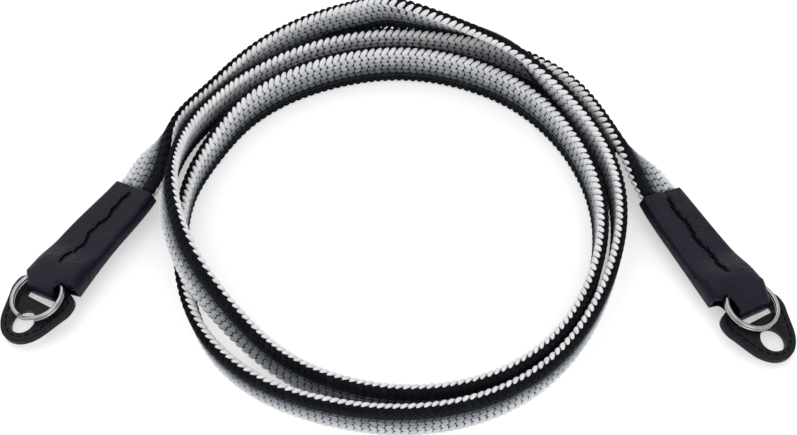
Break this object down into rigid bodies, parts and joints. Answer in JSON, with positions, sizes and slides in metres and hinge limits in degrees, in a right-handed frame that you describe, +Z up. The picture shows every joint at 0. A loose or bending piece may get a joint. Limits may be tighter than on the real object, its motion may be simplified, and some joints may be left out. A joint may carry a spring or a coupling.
{
  "type": "camera strap",
  "caption": "Braided cord camera strap, black and white, coiled on edge, with leather sleeves, split rings and leather protectors at both ends",
  "frame": {"origin": "middle of the object's box, on the surface it lies on", "axes": "+Z up; +X from the left tab to the right tab; +Y away from the viewer, towards the back of the coil"},
  "size_m": [0.1968, 0.1184, 0.0256],
  "materials": {
    "braided_cord": "flat braid of soft black and white yarns",
    "sleeve_leather": "smooth blue-black leather with a soft sheen, black stitching",
    "protector_leather": "black leather, two layers stitched along the edge",
    "ring_steel": "bright nickel-plated spring steel"
  },
  "bodies": {
    "root": {"strap_band": "braided_cord", "sleeve_left": "sleeve_leather", "sleeve_right": "sleeve_leather", "ring_left": "ring_steel", "ring_right": "ring_steel", "protector_left": "protector_leather", "protector_right": "protector_leather"}
  },
  "joints": []
}
